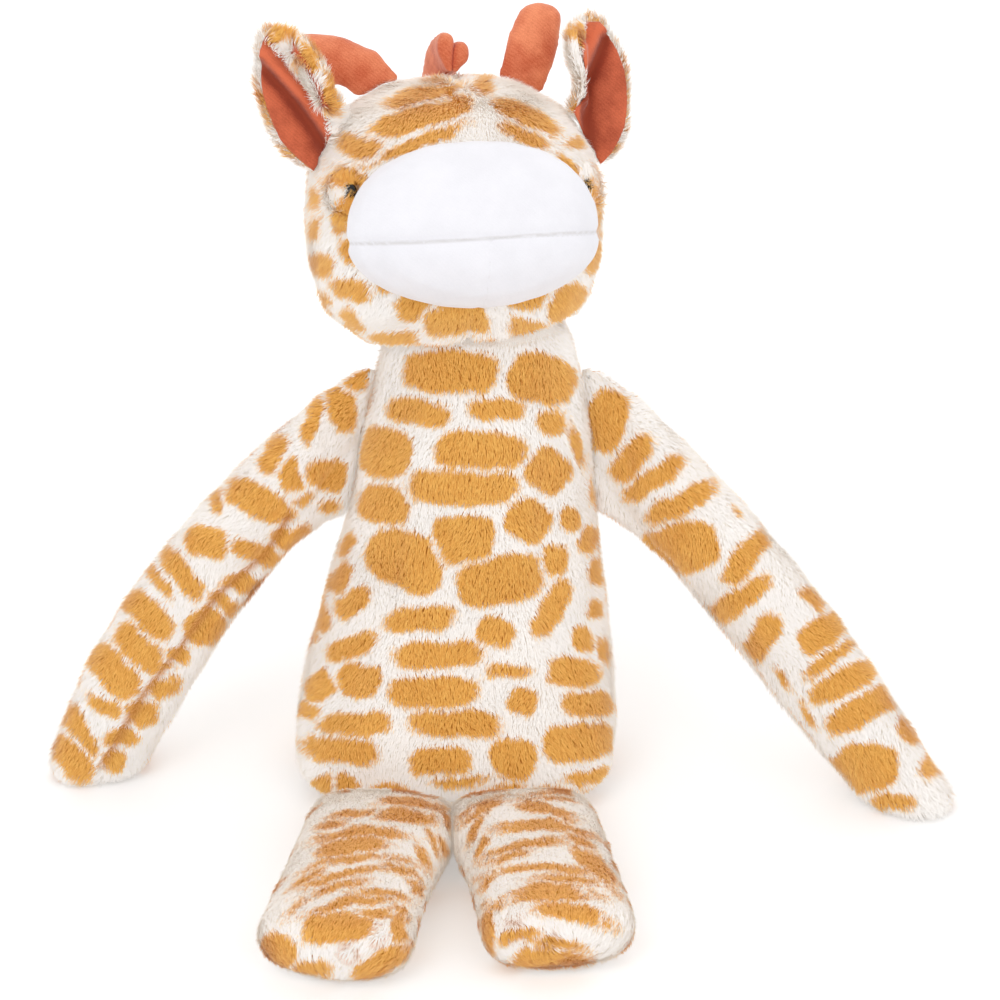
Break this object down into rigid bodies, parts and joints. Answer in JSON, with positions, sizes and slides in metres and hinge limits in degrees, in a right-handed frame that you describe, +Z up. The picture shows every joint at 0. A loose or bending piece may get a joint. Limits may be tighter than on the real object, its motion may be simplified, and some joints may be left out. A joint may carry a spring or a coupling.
{
  "type": "plush giraffe dog toy",
  "caption": "Seated long-armed plush giraffe dog toy in spotted pile fabric, with a smooth white muzzle, folded ears and soft terracotta horns and mane.",
  "frame": {"origin": "middle of the flat seat, on the floor, under the torso", "axes": "+Z up; the toy faces -Y; +X is the toy's own left, which is the viewer's right in the picture; the arms spread along X, the longest side"},
  "size_m": [0.4353, 0.3071, 0.3564],
  "materials": {
    "giraffe_fur": "matte",
    "terracotta_velour": "matte",
    "white_velour": "matte",
    "fibre_fill": "matte",
    "eye_plastic": "gloss",
    "washer_plastic": "satin",
    "squeaker_plastic": "satin"
  },
  "bodies": {
    "torso": {"torso_front_panel": "giraffe_fur", "torso_back_panel": "giraffe_fur", "torso_stuffing": "fibre_fill", "squeaker_bulb": "squeaker_plastic", "squeaker_reed": "squeaker_plastic"},
    "head": {"head_left_panel": "giraffe_fur", "head_right_panel": "giraffe_fur", "head_stuffing": "fibre_fill", "muzzle_upper_panel": "white_velour", "muzzle_lower_left_panel": "white_velour", "muzzle_lower_right_panel": "white_velour", "muzzle_stuffing": "fibre_fill", "eye_left": "eye_plastic", "eye_washer_left": "washer_plastic", "eye_right": "eye_plastic", "eye_washer_right": "washer_plastic", "mane_left_panel": "terracotta_velour", "mane_right_panel": "terracotta_velour"},
    "arm_left": {"arm_left_front_panel": "giraffe_fur", "arm_left_back_panel": "giraffe_fur", "arm_left_stuffing": "fibre_fill"},
    "arm_right": {"arm_right_front_panel": "giraffe_fur", "arm_right_back_panel": "giraffe_fur", "arm_right_stuffing": "fibre_fill"},
    "leg_left": {"leg_left_top_panel": "giraffe_fur", "leg_left_bottom_panel": "giraffe_fur", "leg_left_stuffing": "fibre_fill"},
    "leg_right": {"leg_right_top_panel": "giraffe_fur", "leg_right_bottom_panel": "giraffe_fur", "leg_right_stuffing": "fibre_fill"},
    "ear_left": {"ear_left_lining": "terracotta_velour", "ear_left_back": "giraffe_fur"},
    "ear_right": {"ear_right_lining": "terracotta_velour", "ear_right_back": "giraffe_fur"},
    "horn_left": {"horn_left_front_panel": "terracotta_velour", "horn_left_back_panel": "terracotta_velour", "horn_left_stuffing": "fibre_fill"},
    "horn_right": {"horn_right_front_panel": "terracotta_velour", "horn_right_back_panel": "terracotta_velour", "horn_right_stuffing": "fibre_fill"}
  },
  "joints": [
    {"name": "neck_nod", "type": "hinge", "parent": "torso", "child": "head", "pos_m": [0.012, 0.046, 0.212], "axis": [1, 0, 0], "range_deg": [-8, 30]},
    {"name": "arm_left_swing", "type": "hinge", "parent": "torso", "child": "arm_left", "pos_m": [0.0677, 0.04402, 0.16817], "axis": [-0.0913, 0.0893, 0.9918], "range_deg": [-35, 35]},
    {"name": "arm_right_swing", "type": "hinge", "parent": "torso", "child": "arm_right", "pos_m": [-0.0457, 0.04402, 0.16834], "axis": [0.1784, 0.0883, 0.98], "range_deg": [-35, 35]},
    {"name": "leg_left_swing", "type": "hinge", "parent": "torso", "child": "leg_left", "pos_m": [0.0322, -0.04029, 0.00822], "axis": [-0.9948, -0.1015, 0], "range_deg": [-80, 25]},
    {"name": "leg_right_swing", "type": "hinge", "parent": "torso", "child": "leg_right", "pos_m": [-0.03204, -0.0403, 0.00822], "axis": [-0.9948, 0.1015, 0], "range_deg": [-80, 25]},
    {"name": "ear_left_flop", "type": "hinge", "parent": "head", "child": "ear_left", "pos_m": [0.06426, 0.07756, 0.30225], "axis": [-0.4926, 0.3487, 0.7973], "range_deg": [-25, 15]},
    {"name": "ear_right_flop", "type": "hinge", "parent": "head", "child": "ear_right", "pos_m": [-0.05862, 0.05418, 0.30816], "axis": [0.4022, 0.5189, 0.7543], "range_deg": [-15, 25]},
    {"name": "horn_left_flop", "type": "hinge", "parent": "head", "child": "horn_left", "pos_m": [0.03212, 0.09903, 0.32121], "axis": [-0.9095, -0.0989, 0.4037], "range_deg": [-12, 20]},
    {"name": "horn_right_flop", "type": "hinge", "parent": "head", "child": "horn_right", "pos_m": [-0.03498, 0.08627, 0.32444], "axis": [0.9157, 0.2483, 0.3159], "range_deg": [-20, 12]}
  ]
}
